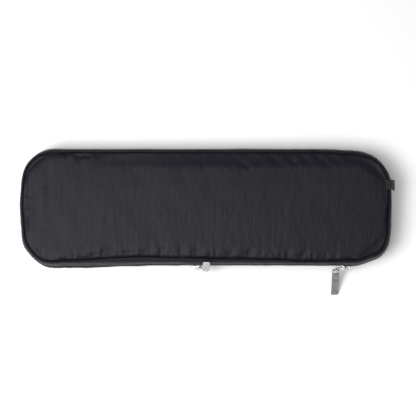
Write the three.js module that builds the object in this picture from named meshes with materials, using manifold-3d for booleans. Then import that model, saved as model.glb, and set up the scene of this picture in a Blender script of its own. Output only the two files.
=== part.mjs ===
// A long soft zip case: two padded half shells, joined at the back by a fabric spine and closed by
// a coil zipper that runs round the front, both ends and the back corners. Two sliders face each
// other on the front edge, and each carries a link and a flat pull plate.
// Millimetres, +Z up, +X to the right, -Y to the front. The origin is the centre of the underside.
import * as THREE from 'three';
import { mergeVertices } from 'three/addons/utils/BufferGeometryUtils.js';
import Module from 'manifold-3d';

const wasm = await Module();
wasm.setup();

// Outer size, measured at half height, where the sides bulge most
const LENGTH = 370.5;
const WIDTH = 116;
const HEIGHT = 36;
const CORNERS = { frontLeft: 40, frontRight: 40, backRight: 39, backLeft: 35 };

// The side strips lean out from the seams by BULGE, and have leant out fully at BULGE_RISE
const BULGE = 5;
const BULGE_RISE = 10;
const BULGE_STEPS = 4;
const GAP = 0.3;

// Layers, from the outside in; a depth is measured inwards from the outer face
const FABRIC = 1.2;
const FOAM = 3;
const LINING = 0.6;
const PANEL_INSET = BULGE + FABRIC + GAP;
const TAPE_DEPTH = [1.6, 2.2];
const COIL_DEPTH = [-0.3, 1.3];
const WALL_LINING_DEPTH = [2.6, 3.2];
const BINDING_DEPTH = [4, 5];

// Heights in the base; the lid is its mirror image about MID
const MID = HEIGHT / 2;
const GUSSET_TOP = 12.8;
const TAPE_LOW = 9;
const COIL_LOW = 15;
const CHAIN_TOP = 17;
const LINING_TOP = 11.5;
const BINDING_HEIGHT = 3;

// The spine: the straight stretch of the back, between the ends of the zipper
const SPINE = [-146, 144];
const CHAIN_END = 4;
const STOP_LENGTH = 3.1;
const HINGE_TAPE_HEIGHT = 8;
const HINGE_TAPE_INSET = 6;

// Webbing tab, folded over the top seam at the right end
const TAB_WIDTH = 9.5;
const TAB_CENTRE_Y = 21;
const TAB_THICKNESS = 2.2;
const TAB_CLEARANCE = 0.45;

// Mesh pocket, flat against the lid's lining
const POCKET = { length: 210, width: 78, thickness: 0.6, corner: 14 };
const POCKET_ELASTIC = { width: 6, thickness: 1.4 };

// Slider: two plates either side of the coils, a neck between them and a bridge outside
const SLIDER_LENGTH = 10;
const SLIDER_HEAD = 4.4;
const SLIDER_TAIL = 3.4;
const SLIDER_PLATE = 1.2;
const SLIDER_OUT = 0.8;
const SLIDER_IN = 2.8;
const SLIDER_INNER_PLATE = 1;
const SLIDER_ROUNDING = { tail: 1, head: 1.5, headSide: 2, shoulder: 1.5 };
const NECK = { from: 1.4, to: 4.2, height: 1.3 };
const FLANGE = { thickness: 0.4, length: 7, inner: 0.7 };
const BRIDGE = { halfLength: 4.1, width: 2.4, opening: 1.9, thickness: 1.1, leg: 1.2, fillet: 0.6 };
const OVERLAP = 0.2;

// Link: a wire loop round the bridge, and an eye at right angles to it for the pull plate
const WIRE = 0.6;
const LOOP = { length: 5.8, halfHeight: 2.9 };
const EYE_REACH = 10;
const EYE_RADIUS = 1.9;

// Pull plate: a flat plate with a window; the bar above the window turns in the link's eye
const PLATE = { width: 7, bar: 0.8, length: 29.6, thickness: 1.2, corner: 0.8 };
const WINDOW = { halfWidth: 2.4, end: 3.6, corner: 0.5 };

// Where the sliders stand, which way each one's link points, and how far its plate is raised
// above level
const SLIDERS = {
  mid: { x: -10, side: 1, raised: 102.5 },
  right: { x: 139, side: -1, raised: -36 },
};

const FRONT = -WIDTH / 2;
const BACK = WIDTH / 2;
const RIGHT = LENGTH / 2;
const CURVE_STEPS = 7;

const fabric = { color: 0x2c2b30, roughness: 0.8, metalness: 0 };
const webbing = { color: 0x18181a, roughness: 0.9, metalness: 0 };
const coil = { color: 0x141416, roughness: 0.5, metalness: 0 };
const foam = { color: 0x55555a, roughness: 1, metalness: 0 };
const lining = { color: 0x3a3a40, roughness: 0.85, metalness: 0 };
const nickel = { color: 0xc9c9cc, roughness: 0.25, metalness: 1 };
const satin = { color: 0xa8a8aa, roughness: 0.4, metalness: 1 };

function toSolid(geometry) {
  const bare = geometry.index ? geometry.toNonIndexed() : geometry.clone();
  bare.deleteAttribute('normal');
  bare.deleteAttribute('uv');
  const merged = mergeVertices(bare, 1e-4);
  const vertProperties = new Float32Array(merged.attributes.position.array);
  const triVerts = new Uint32Array(merged.index.array);
  return new wasm.Manifold(new wasm.Mesh({ numProp: 3, vertProperties, triVerts }));
}

function toGeometry(solid) {
  const mesh = solid.getMesh();
  const geometry = new THREE.BufferGeometry();
  geometry.setAttribute('position', new THREE.BufferAttribute(mesh.vertProperties, 3));
  geometry.setIndex(new THREE.BufferAttribute(mesh.triVerts, 1));
  geometry.computeVertexNormals();
  return geometry;
}

function box(low, high) {
  const size = high.map((value, i) => value - low[i]);
  const geometry = new THREE.BoxGeometry(...size);
  geometry.translate(...low.map((value, i) => value + size[i] / 2));
  return toSolid(geometry);
}

// The outline of the case, a given depth inside its outer face
function outline(depth) {
  const x = LENGTH / 2 - depth;
  const y = WIDTH / 2 - depth;
  const { frontLeft, frontRight, backRight, backLeft } = CORNERS;
  const shape = new THREE.Shape();
  const corner = (cx, cy, radius, start) => {
    const r = radius - depth;
    shape.absarc(cx * (x - r), cy * (y - r), r, start, start + Math.PI / 2, false);
  };
  corner(-1, -1, frontLeft, Math.PI);
  corner(1, -1, frontRight, 1.5 * Math.PI);
  corner(1, 1, backRight, 0);
  corner(-1, 1, backLeft, 0.5 * Math.PI);
  return shape;
}

function prism(shape, low, high) {
  const settings = { depth: high - low, bevelEnabled: false, curveSegments: CURVE_STEPS };
  const geometry = new THREE.ExtrudeGeometry(shape, settings);
  geometry.translate(0, 0, low);
  return toSolid(geometry);
}

// The whole closed case as one solid, a given depth inside its outer face, with bulging sides
function bulged(depth) {
  const geometry = new THREE.ExtrudeGeometry(outline(depth + BULGE), {
    depth: HEIGHT - 2 * BULGE_RISE,
    bevelThickness: BULGE_RISE,
    bevelSize: BULGE,
    bevelSegments: BULGE_STEPS,
    curveSegments: CURVE_STEPS,
  });
  geometry.translate(0, 0, BULGE_RISE);
  return toSolid(geometry);
}

function bulgedWall([outer, inner]) {
  const core = bulged(inner).add(prism(outline(BULGE + inner), -1, HEIGHT + 1));
  return bulged(outer).subtract(core);
}

function straightWall([outer, inner], low, high) {
  return prism(outline(outer), low, high).subtract(prism(outline(inner), low - 1, high + 1));
}

const FAR = LENGTH;
const slab = (low, high) => box([-FAR, -FAR, low], [FAR, FAR, high]);
const atBack = (from, to) => box([from, 0, -1], [to, FAR, HEIGHT + 1]);

// A pair of heights in the base, or the same pair mirrored into the lid
const heights = (half, low, high) => (half === 'base' ? [low, high] : [HEIGHT - high, HEIGHT - low]);

const group = new THREE.Group();

function add(name, geometry, look) {
  const mesh = new THREE.Mesh(geometry, new THREE.MeshStandardMaterial(look));
  mesh.name = name;
  group.add(mesh);
  return mesh;
}

function addHalf(half, panelName) {
  const at = (low, high) => heights(half, low, high);
  const chain = atBack(SPINE[0] - CHAIN_END, SPINE[1] + CHAIN_END);
  const strip = atBack(...SPINE);
  const spine = atBack(SPINE[0] + GAP, SPINE[1] - GAP);
  const foamLow = FABRIC + GAP;
  const liningLow = foamLow + FOAM + GAP;
  const liningHigh = liningLow + LINING;
  const panel = (low, high) => toGeometry(prism(outline(PANEL_INSET), ...at(low, high)));
  add(`${panelName}_panel`, panel(0, FABRIC), fabric);
  add(`${panelName}_foam`, panel(foamLow, foamLow + FOAM), foam);
  add(`${panelName}_lining`, panel(liningLow, liningHigh), lining);

  const outer = bulgedWall([0, FABRIC]);
  const gusset = outer.intersect(slab(...at(-1, GUSSET_TOP))).subtract(strip);
  add(`${half}_gusset`, toGeometry(gusset), fabric);
  const spineHalf = outer.intersect(slab(...at(-1, MID - GAP))).intersect(spine);
  add(half === 'base' ? 'spine_lower' : 'spine_upper', toGeometry(spineHalf), fabric);

  const wall = bulgedWall(WALL_LINING_DEPTH).intersect(slab(...at(foamLow, LINING_TOP)));
  add(`${half}_wall_lining`, toGeometry(wall), lining);
  const bindingLow = liningHigh + GAP;
  const binding = straightWall(BINDING_DEPTH, ...at(bindingLow, bindingLow + BINDING_HEIGHT));
  add(`${half}_seam_binding`, toGeometry(binding), webbing);

  const tape = straightWall(TAPE_DEPTH, ...at(TAPE_LOW, CHAIN_TOP)).subtract(chain);
  add(`${half}_zipper_tape`, toGeometry(tape), webbing);
  const teeth = straightWall(COIL_DEPTH, ...at(COIL_LOW, CHAIN_TOP)).subtract(chain);
  add(`${half}_zipper_coil`, toGeometry(teeth), coil);
}

// The two small stops that close the ends of the zipper, at the back corners
function addEndStops() {
  const from = {
    left: SPINE[0] - CHAIN_END + GAP,
    right: SPINE[1] + CHAIN_END - GAP - STOP_LENGTH,
  };
  Object.entries(from).forEach(([name, x]) => {
    const stop = box(
      [x, BACK - COIL_DEPTH[1], COIL_LOW - GAP],
      [x + STOP_LENGTH, BACK - COIL_DEPTH[0] + GAP, CHAIN_TOP + GAP],
    );
    add(`zipper_end_stop_${name}`, toGeometry(stop), webbing);
  });
}

function addHingeTape() {
  const tape = box(
    [SPINE[0] + HINGE_TAPE_INSET, BACK - TAPE_DEPTH[1], MID - HINGE_TAPE_HEIGHT / 2],
    [SPINE[1] - HINGE_TAPE_INSET, BACK - TAPE_DEPTH[0], MID + HINGE_TAPE_HEIGHT / 2],
  );
  add('spine_hinge_tape', toGeometry(tape), webbing);
}

// The tab lies over the rounded top edge, from just inside the seam to where the side is widest
function addTab() {
  const point = (share, off) => {
    const angle = (share * Math.PI) / 2;
    return new THREE.Vector2(
      RIGHT - BULGE + (BULGE + off) * Math.sin(angle),
      HEIGHT - BULGE_RISE + (BULGE_RISE + off) * Math.cos(angle),
    );
  };
  const near = TAB_CLEARANCE;
  const far = TAB_CLEARANCE + TAB_THICKNESS;
  const start = RIGHT - BULGE - FABRIC;
  const points = [new THREE.Vector2(start, HEIGHT + near)];
  for (let i = 0; i <= BULGE_STEPS; i += 1) points.push(point(i / BULGE_STEPS, near));
  for (let i = BULGE_STEPS; i >= 0; i -= 1) points.push(point(i / BULGE_STEPS, far));
  points.push(new THREE.Vector2(start, HEIGHT + far));
  const settings = { depth: TAB_WIDTH, bevelEnabled: false };
  const geometry = new THREE.ExtrudeGeometry(new THREE.Shape(points), settings);
  geometry.rotateX(Math.PI / 2);
  geometry.translate(0, TAB_CENTRE_Y + TAB_WIDTH / 2, 0);
  add('webbing_tab', geometry, webbing);
}

function roundedRectangle(x0, y0, x1, y1, r) {
  const shape = new THREE.Shape();
  shape.absarc(x0 + r, y0 + r, r, Math.PI, 1.5 * Math.PI, false);
  shape.absarc(x1 - r, y0 + r, r, 1.5 * Math.PI, 2 * Math.PI, false);
  shape.absarc(x1 - r, y1 - r, r, 0, 0.5 * Math.PI, false);
  shape.absarc(x0 + r, y1 - r, r, 0.5 * Math.PI, Math.PI, false);
  return shape;
}

function addPocket() {
  const top = HEIGHT - FABRIC - FOAM - LINING - 3 * GAP;
  const { length, width, thickness, corner } = POCKET;
  const edge = -width / 2 + POCKET_ELASTIC.width;
  const net = roundedRectangle(-length / 2, edge + GAP, length / 2, width / 2, corner);
  add('mesh_pocket', toGeometry(prism(net, top - thickness, top)), lining);
  const hem = box(
    [-length / 2, -width / 2, top - POCKET_ELASTIC.thickness],
    [length / 2, edge, top],
  );
  add('pocket_elastic', toGeometry(hem), webbing);
}

// A slider part is drawn with x along the zipper towards the link, y outwards from the wall and
// z up, and is then turned to face the front at its own place
function placed(geometry, { x, side }) {
  const turned = toSolid(geometry).getMesh();
  const out = new THREE.BufferGeometry();
  const position = new THREE.BufferAttribute(new Float32Array(turned.vertProperties), 3);
  const triangles = new Uint32Array(turned.triVerts);
  for (let i = 0; i < position.count; i += 1) {
    position.setXYZ(i, x + side * position.getX(i), FRONT - position.getY(i), MID + position.getZ(i));
  }
  if (side > 0) {
    for (let i = 0; i < triangles.length; i += 3) {
      [triangles[i], triangles[i + 1]] = [triangles[i + 1], triangles[i]];
    }
  }
  out.setAttribute('position', position);
  out.setIndex(new THREE.BufferAttribute(triangles, 1));
  out.computeVertexNormals();
  return out;
}

function sliderPlate(from, to) {
  const half = SLIDER_LENGTH / 2;
  const { tail, head, headSide, shoulder } = SLIDER_ROUNDING;
  const shape = new THREE.Shape();
  shape.moveTo(-half, -SLIDER_TAIL + tail);
  shape.quadraticCurveTo(-half, -SLIDER_TAIL, -half + tail, -SLIDER_TAIL);
  shape.quadraticCurveTo(0, -SLIDER_TAIL, shoulder, -SLIDER_HEAD);
  shape.lineTo(half - head, -SLIDER_HEAD);
  shape.quadraticCurveTo(half, -SLIDER_HEAD, half, -SLIDER_HEAD + headSide);
  shape.lineTo(half, SLIDER_HEAD - headSide);
  shape.quadraticCurveTo(half, SLIDER_HEAD, half - head, SLIDER_HEAD);
  shape.lineTo(shoulder, SLIDER_HEAD);
  shape.quadraticCurveTo(0, SLIDER_TAIL, -half + tail, SLIDER_TAIL);
  shape.quadraticCurveTo(-half, SLIDER_TAIL, -half, SLIDER_TAIL - tail);
  const settings = { depth: to - from, bevelEnabled: false, curveSegments: 4 };
  const geometry = new THREE.ExtrudeGeometry(shape, settings);
  geometry.rotateX(Math.PI / 2);
  geometry.translate(0, to, 0);
  return toSolid(geometry);
}

function bridge() {
  const { halfLength, width, opening, thickness, leg, fillet } = BRIDGE;
  const foot = SLIDER_OUT + SLIDER_PLATE - OVERLAP;
  const under = SLIDER_OUT + SLIDER_PLATE + opening;
  const arch = new THREE.Shape();
  arch.moveTo(-halfLength, foot);
  arch.lineTo(-halfLength + leg, foot);
  arch.lineTo(-halfLength + leg, under - fillet);
  arch.lineTo(-halfLength + leg + fillet, under);
  arch.lineTo(halfLength - leg - fillet, under);
  arch.lineTo(halfLength - leg, under - fillet);
  arch.lineTo(halfLength - leg, foot);
  arch.lineTo(halfLength, foot);
  arch.lineTo(halfLength, under);
  arch.lineTo(halfLength - thickness, under + thickness);
  arch.lineTo(-halfLength + thickness, under + thickness);
  arch.lineTo(-halfLength, under);
  const geometry = new THREE.ExtrudeGeometry(arch, { depth: width, bevelEnabled: false });
  geometry.translate(0, 0, -width / 2);
  return toSolid(geometry);
}

function slider() {
  const outer = sliderPlate(SLIDER_OUT, SLIDER_OUT + SLIDER_PLATE);
  const inner = sliderPlate(-SLIDER_IN - SLIDER_INNER_PLATE, -SLIDER_IN);
  const neck = box(
    [NECK.from, -SLIDER_IN - OVERLAP, -NECK.height / 2],
    [NECK.to, SLIDER_OUT + OVERLAP, NECK.height / 2],
  );
  const flange = box(
    [-FLANGE.length / 2, -FLANGE.inner, -SLIDER_TAIL],
    [FLANGE.length / 2, SLIDER_OUT + OVERLAP, -SLIDER_TAIL + FLANGE.thickness],
  );
  return outer.add(inner).add(neck).add(flange).add(bridge());
}

function rod(from, to, radius) {
  const start = new THREE.Vector3(...from);
  const end = new THREE.Vector3(...to);
  const span = new THREE.Vector3().subVectors(end, start);
  const geometry = new THREE.CylinderGeometry(radius, radius, span.length(), 8);
  const up = new THREE.Vector3(0, 1, 0);
  geometry.applyQuaternion(new THREE.Quaternion().setFromUnitVectors(up, span.normalize()));
  geometry.translate(...start.add(end).multiplyScalar(0.5).toArray());
  return toSolid(geometry);
}

function ball(at, radius) {
  const geometry = new THREE.SphereGeometry(radius, 8, 5);
  geometry.translate(...at);
  return toSolid(geometry);
}

// Where the link's wire lies under the bridge, out from the wall's face
const LINK_OUT = SLIDER_OUT + SLIDER_PLATE + BRIDGE.opening / 2;

function link() {
  const corners = [
    [0, LINK_OUT, -LOOP.halfHeight],
    [LOOP.length, LINK_OUT, -LOOP.halfHeight],
    [LOOP.length, LINK_OUT, LOOP.halfHeight],
    [0, LINK_OUT, LOOP.halfHeight],
  ];
  let solid = rod([LOOP.length, LINK_OUT, 0], [EYE_REACH, LINK_OUT, 0], WIRE);
  corners.forEach((corner, i) => {
    solid = solid.add(rod(corner, corners[(i + 1) % corners.length], WIRE));
    solid = solid.add(ball(corner, WIRE));
  });
  const eye = new THREE.TorusGeometry(EYE_RADIUS, WIRE, 7, 14);
  eye.rotateY(Math.PI / 2);
  eye.translate(EYE_REACH, LINK_OUT + EYE_RADIUS, 0);
  return solid.add(toSolid(eye));
}

// The plate points outwards when level, and turns about the bar above its window
function pull(raised) {
  const { width, bar, length, thickness, corner } = PLATE;
  const shape = roundedRectangle(-width / 2, -bar, width / 2, length, corner);
  const { halfWidth, end } = WINDOW;
  shape.holes.push(roundedRectangle(-halfWidth, bar, halfWidth, end, WINDOW.corner));
  const settings = { depth: thickness, bevelEnabled: false, curveSegments: 4 };
  const geometry = new THREE.ExtrudeGeometry(shape, settings);
  geometry.translate(0, 0, -thickness / 2);
  geometry.rotateX(THREE.MathUtils.degToRad(raised));
  geometry.translate(EYE_REACH, LINK_OUT + EYE_RADIUS, 0);
  return geometry;
}

addHalf('base', 'bottom');
addHalf('lid', 'top');
addEndStops();
addHingeTape();
addTab();
addPocket();
Object.entries(SLIDERS).forEach(([name, place]) => {
  add(`slider_${name}`, placed(toGeometry(slider()), place), nickel);
  add(`link_${name}`, placed(toGeometry(link()), place), nickel);
  add(`pull_${name}`, placed(pull(place.raised), place), satin);
});

export default group;
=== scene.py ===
import math

import bmesh
import bpy
import numpy as np
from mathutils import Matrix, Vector


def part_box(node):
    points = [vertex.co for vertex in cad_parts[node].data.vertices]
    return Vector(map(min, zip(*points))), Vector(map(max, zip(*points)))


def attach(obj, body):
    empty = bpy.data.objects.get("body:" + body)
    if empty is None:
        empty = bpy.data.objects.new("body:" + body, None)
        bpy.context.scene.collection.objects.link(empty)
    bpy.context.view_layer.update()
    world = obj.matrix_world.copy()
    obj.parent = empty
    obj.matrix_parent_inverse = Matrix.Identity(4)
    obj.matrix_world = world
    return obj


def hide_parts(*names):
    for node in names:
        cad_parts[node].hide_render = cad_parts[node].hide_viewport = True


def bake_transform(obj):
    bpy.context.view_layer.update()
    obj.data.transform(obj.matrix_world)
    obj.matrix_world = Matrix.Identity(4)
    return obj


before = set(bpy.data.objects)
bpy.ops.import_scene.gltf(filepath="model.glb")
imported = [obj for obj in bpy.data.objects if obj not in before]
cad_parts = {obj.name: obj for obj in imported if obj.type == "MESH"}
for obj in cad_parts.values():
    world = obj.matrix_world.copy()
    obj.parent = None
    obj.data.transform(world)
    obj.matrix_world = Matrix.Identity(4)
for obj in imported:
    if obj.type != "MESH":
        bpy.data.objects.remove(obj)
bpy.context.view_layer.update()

# A long soft zip case of two padded half shells. Lengths are in millimetres until a mesh is made,
# +Z is up, +X to the right and -Y to the front, with the origin under the middle of the case.
MM = 0.001
LENGTH, WIDTH, HEIGHT = 370.5, 116.0, 36.0
MID = HEIGHT / 2
FRONT, BACK, RIGHT = -WIDTH / 2, WIDTH / 2, LENGTH / 2
CORNERS = {"front_right": 40.0, "back_right": 39.0, "back_left": 35.0, "front_left": 40.0}
SPINE = (-146.0, 144.0)      # the spine's ends along x
CHAIN_END = 4.0              # the coils end this far inside the spine's ends
SEAM_INSET = 6.55            # the panels' seams lie this far inside the outline
PAD_INSIDE = 13.55           # the foam's inner face, above the zipper's line
LINING_BACK, LINING_FACE = 13.15, 12.53      # the face lining's two sides, as high above it
THREAD = (0.2, 5)            # a sewing thread's radius and the sides of its tube
UV = "Cloth"


# ---------------------------------------------------------------- camera, light and floor

# Lights as (name, place in metres, width in metres, watts)
LIGHTS = [("key_light", (-0.46, -0.23, 0.98), 0.55, 7.6),
          ("overhead_light", (-0.34, -0.24, 1.45), 1.5, 15.5)]
WORLD_STRENGTH = 0.30
LIGHT_TARGET = (0.0, 0.0, 0.02)
CAMERA_TARGET = (1.6, -0.75, MID)
CAMERA_ELEVATION, CAMERA_DISTANCE, VIEW_WIDTH = 85.0, 1.2, 0.416
FLOOR_HALF, FLOOR_DROP = 4.0, 0.00025


def linked(name, data):
    made = bpy.data.objects.new(name, data)
    bpy.context.scene.collection.objects.link(made)
    return made


def aimed(name, data, place, direction):
    """A camera or light at a place in metres, looking along that direction."""
    made = linked(name, data)
    made.location = place
    made.rotation_mode = "QUATERNION"
    made.rotation_quaternion = direction.to_track_quat("-Z", "Y")
    return made


def make_stage():
    elevation = math.radians(CAMERA_ELEVATION)
    data = bpy.data.cameras.new("camera")
    data.sensor_width = 36.0
    data.lens = data.sensor_width / 2 / (VIEW_WIDTH / 2 / CAMERA_DISTANCE)
    data.clip_start, data.clip_end = 0.05, 20.0
    back = Vector((0.0, -math.cos(elevation), math.sin(elevation)))
    place = Vector(CAMERA_TARGET) * MM + back * CAMERA_DISTANCE
    bpy.context.scene.camera = aimed("camera", data, place, -back)
    bpy.context.scene.view_settings.view_transform = "Standard"

    for name, place, size, watts in LIGHTS:
        light = bpy.data.lights.new(name, "AREA")
        light.shape, light.size, light.energy = "DISK", size, watts
        aimed(name, light, place, Vector(LIGHT_TARGET) - Vector(place))
    world = bpy.data.worlds.new("studio")
    world.use_nodes = True
    background = world.node_tree.nodes["Background"].inputs
    background["Color"].default_value = (1.0, 1.0, 1.0, 1.0)
    background["Strength"].default_value = WORLD_STRENGTH
    bpy.context.scene.world = world

    mesh = bpy.data.meshes.new("floor")
    corners = [(x * FLOOR_HALF, y * FLOOR_HALF, 0) for x, y in ((-1, -1), (1, -1), (1, 1), (-1, 1))]
    mesh.from_pydata(corners, [], [(0, 1, 2, 3)])
    floor = linked("floor", mesh)
    floor.location.z = -FLOOR_DROP
    mesh.materials.append(plain_material("pale_floor", Base_Color=(0.88, 0.88, 0.885, 1.0),
                                         Roughness=0.85, Specular_IOR_Level=0.2))


# ---------------------------------------------------------------- materials

def node(tree, kind, inputs=None, **settings):
    made = tree.nodes.new("ShaderNode" + kind)
    for name, value in settings.items():
        setattr(made, name, value)
    for name, value in (inputs or {}).items():
        socket = made.inputs[name]
        if isinstance(value, bpy.types.NodeSocket):
            tree.links.new(value, socket)
        else:
            socket.default_value = value
    return made


def math_node(tree, operation, a, b=0.0):
    return node(tree, "Math", {0: a, 1: b}, operation=operation).outputs[0]


def blend_of(tree, a, share_a, b, share_b):
    """The sum of two values, each times its share."""
    return math_node(tree, "ADD", math_node(tree, "MULTIPLY", a, share_a),
                     math_node(tree, "MULTIPLY", b, share_b))


def plain_material(name, **constants):
    """A material with these numbers and colours on its shader's own sockets."""
    material = bpy.data.materials.new(name)
    material.use_nodes = True
    shader = material.node_tree.nodes["Principled BSDF"]
    for socket, value in constants.items():
        shader.inputs[socket.replace("_", " ")].default_value = value
    return material


def new_material(name, on_cloth, **constants):
    """A material's node tree, its coordinates, of the cloth or else of the object, and a call that
    links its colour, roughness and normal and returns the material."""
    material = plain_material(name, **constants)
    tree = material.node_tree

    def finish(*values):
        for socket, value in zip(("Base Color", "Roughness", "Normal"), values):
            tree.links.new(value, tree.nodes["Principled BSDF"].inputs[socket])
        return material

    if on_cloth:
        return tree, node(tree, "UVMap", uv_map=UV).outputs[0], finish
    return tree, node(tree, "TexCoord").outputs["Object"], finish


def noise_of(tree, vector, across, along, up=None, detail=2.0, rough=0.5):
    """Noise with grains of these sizes in millimetres."""
    scale = [1 / (size * MM) for size in (across, along, up or across)]
    vector = node(tree, "Mapping", {"Vector": vector, "Scale": scale}).outputs[0]
    inputs = {"Vector": vector, "Scale": 1.0, "Detail": detail, "Roughness": rough}
    return node(tree, "TexNoise", inputs).outputs["Fac"]


def ramp(tree, value, stops):
    made = node(tree, "ValToRGB", {"Fac": value})
    elements = made.color_ramp.elements
    while len(elements) < len(stops):
        elements.new(0.5)
    for element, (position, colour) in zip(elements, stops):
        element.position = position
        element.color = (*colour, 1.0)
    return made.outputs["Color"]


def remap(tree, value, low, high, to_low, to_high):
    inputs = {0: value, 1: low, 2: high, 3: to_low, 4: to_high}
    return node(tree, "MapRange", inputs).outputs[0]


def bump(tree, height, distance, normal=None):
    """A bump of this many millimetres, on top of another one."""
    inputs = {"Height": height, "Distance": distance * MM, "Strength": 1.0}
    if normal is not None:
        inputs["Normal"] = normal
    return node(tree, "Bump", inputs).outputs[0]


def weave(tree, vector, pitch):
    """Over and under threads: the product of two sine waves, from -1 to 1."""
    parts = node(tree, "SeparateXYZ", {0: vector})
    turn = 2 * math.pi / (pitch * MM)
    waves = [math_node(tree, "SINE", math_node(tree, "MULTIPLY", parts.outputs[i], turn))
             for i in (0, 1)]
    return math_node(tree, "MULTIPLY", *waves)


def nylon():
    """Crinkled slub nylon: fine streaks one way, soft creases and a close plain weave."""
    tree, at, finish = new_material(
        "crinkle_nylon", True, Specular_IOR_Level=0.175, Sheen_Weight=0.03, Sheen_Roughness=0.35,
        Sheen_Tint=(0.80, 0.80, 0.92, 1.0))
    fine = noise_of(tree, at, 0.9, 26.0, detail=3.0, rough=0.6)
    broad = noise_of(tree, at, 3.6, 60.0, detail=2.0)
    patch = noise_of(tree, at, 45.0, 45.0, detail=2.0)
    crinkle = noise_of(tree, at, 4.5, 13.0, detail=3.0, rough=0.55)
    slub = blend_of(tree, fine, 0.62, broad, 0.38)
    tone = math_node(tree, "ADD", slub, math_node(tree, "MULTIPLY", patch, 0.3))
    colour = ramp(tree, tone, [(0.36, (0.0042, 0.0036, 0.0072)), (0.62, (0.0060, 0.0053, 0.0098)),
                               (0.92, (0.0090, 0.0082, 0.0136))])
    normal = bump(tree, slub, 0.10, bump(tree, crinkle, 0.42))
    normal = bump(tree, weave(tree, at, 0.55), 0.018, normal)
    return finish(colour, remap(tree, slub, 0.3, 0.7, 0.55, 0.45), normal)


def webbing(name, dark, light, pitch, across):
    """Ribbed narrow tape: ribs along its length, crossed by a tight weft."""
    tree, at, finish = new_material(name, True, Specular_IOR_Level=0.25, Sheen_Weight=0.2,
                                    Sheen_Roughness=0.5)
    threads = weave(tree, at, pitch)
    wear = noise_of(tree, at, across, across * 3)
    tone = math_node(tree, "ADD", math_node(tree, "MULTIPLY", threads, 0.22), wear)
    fuzz = noise_of(tree, at, 0.25, 0.25, detail=1.0)
    return finish(ramp(tree, tone, [(0.25, dark), (0.8, light)]),
                  remap(tree, wear, 0.3, 0.7, 0.9, 0.7),
                  bump(tree, fuzz, 0.06, bump(tree, threads, 0.14)))


def coil_nylon():
    """Smooth moulded filament, a little worn."""
    tree, at, finish = new_material("coil_nylon", False, Specular_IOR_Level=0.5)
    grain = noise_of(tree, at, 0.6, 0.6)
    wear = noise_of(tree, at, 9.0, 9.0)
    return finish(ramp(tree, wear, [(0.3, (0.006, 0.006, 0.007)), (0.75, (0.016, 0.016, 0.018))]),
                  remap(tree, grain, 0.3, 0.7, 0.28, 0.5), bump(tree, grain, 0.02))


def tricot(name, dark, light):
    """Brushed knitted lining: fine wales under a short nap."""
    tree, at, finish = new_material(name, True, Specular_IOR_Level=0.15, Sheen_Weight=0.4,
                                    Sheen_Roughness=0.6)
    wales = weave(tree, at, 1.1)
    nap = noise_of(tree, at, 0.5, 0.5, detail=3.0, rough=0.7)
    patch = noise_of(tree, at, 30.0, 22.0, detail=3.0)
    normal = bump(tree, patch, 1.2, bump(tree, nap, 0.12, bump(tree, wales, 0.10)))
    return finish(ramp(tree, blend_of(tree, nap, 0.5, patch, 0.5), [(0.35, dark), (0.65, light)]),
                  remap(tree, nap, 0.3, 0.7, 0.95, 0.8), normal)


def metal(name, dark, light, roughness, brush):
    """Plated metal with fine brushing along the part and duller, darker handling marks."""
    tree, at, finish = new_material(name, False, Metallic=1.0)
    lines = noise_of(tree, at, *brush)
    marks = noise_of(tree, at, 5.0, 5.0, detail=4.0, rough=0.65)
    mixed = blend_of(tree, lines, 0.5, marks, 0.5)
    return finish(ramp(tree, marks, [(0.35, dark), (0.62, light)]),
                  remap(tree, mixed, 0.35, 0.65, *roughness), bump(tree, lines, 0.03))


def make_materials():
    """Each material by the name of the record's slot, or where a piece shares a slot by its own."""
    return {
        "outer_nylon": nylon(),
        "webbing": webbing("ribbed_webbing", (0.004, 0.004, 0.005), (0.015, 0.015, 0.017), 0.9, 6.0),
        "tape": webbing("zipper_tape", (0.006, 0.006, 0.007), (0.017, 0.017, 0.019), 0.6, 5.0),
        "thread": webbing("sewing_thread", (0.012, 0.012, 0.014), (0.034, 0.033, 0.037), 0.35, 2.0),
        "coil": coil_nylon(),
        "lining": tricot("tricot_lining", (0.020, 0.020, 0.024), (0.036, 0.036, 0.042)),
        "mesh": webbing("knitted_net", (0.010, 0.010, 0.012), (0.030, 0.030, 0.033), 0.5, 5.0),
        "nickel": metal("bright_nickel", (0.50, 0.49, 0.48), (0.80, 0.79, 0.77), (0.16, 0.32),
                        (0.5, 4.0, 0.5)),
        "satin_metal": metal("satin_plate", (0.36, 0.355, 0.345), (0.53, 0.525, 0.51), (0.36, 0.5),
                             (0.12, 6.0, 6.0)),
    }


# ---------------------------------------------------------------- shape tools

NOISE_SIZE = 128
NOISE = np.random.default_rng(11).uniform(-1.0, 1.0, (NOISE_SIZE, NOISE_SIZE))
SEED_STEPS = 17.37, 41.83    # how far from each other two seeds read the table


def smooth(value, low, high):
    """0 below low, 1 above high, and an even S between them."""
    t = np.clip((np.asarray(value, float) - low) / (high - low), 0.0, 1.0)
    return t * t * (3 - 2 * t)


def swell(value, centre, spread):
    """A bell of height 1 at the centre."""
    return np.exp(-0.5 * ((np.asarray(value, float) - centre) / spread) ** 2)


def noise(u, v, seed):
    """Smooth noise from about -1 to 1, with bumps one unit across."""
    u = np.asarray(u, float) + SEED_STEPS[0] * seed
    v = np.asarray(v, float) + SEED_STEPS[1] * seed
    iu, iv = np.floor(u).astype(int), np.floor(v).astype(int)
    fu, fv = u - iu, v - iv
    fu, fv = fu * fu * (3 - 2 * fu), fv * fv * (3 - 2 * fv)

    def pick(a, b):
        return NOISE[a % NOISE_SIZE, b % NOISE_SIZE]

    low = pick(iu, iv) * (1 - fu) + pick(iu + 1, iv) * fu
    high = pick(iu, iv + 1) * (1 - fu) + pick(iu + 1, iv + 1) * fu
    return low * (1 - fv) + high * fv


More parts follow.
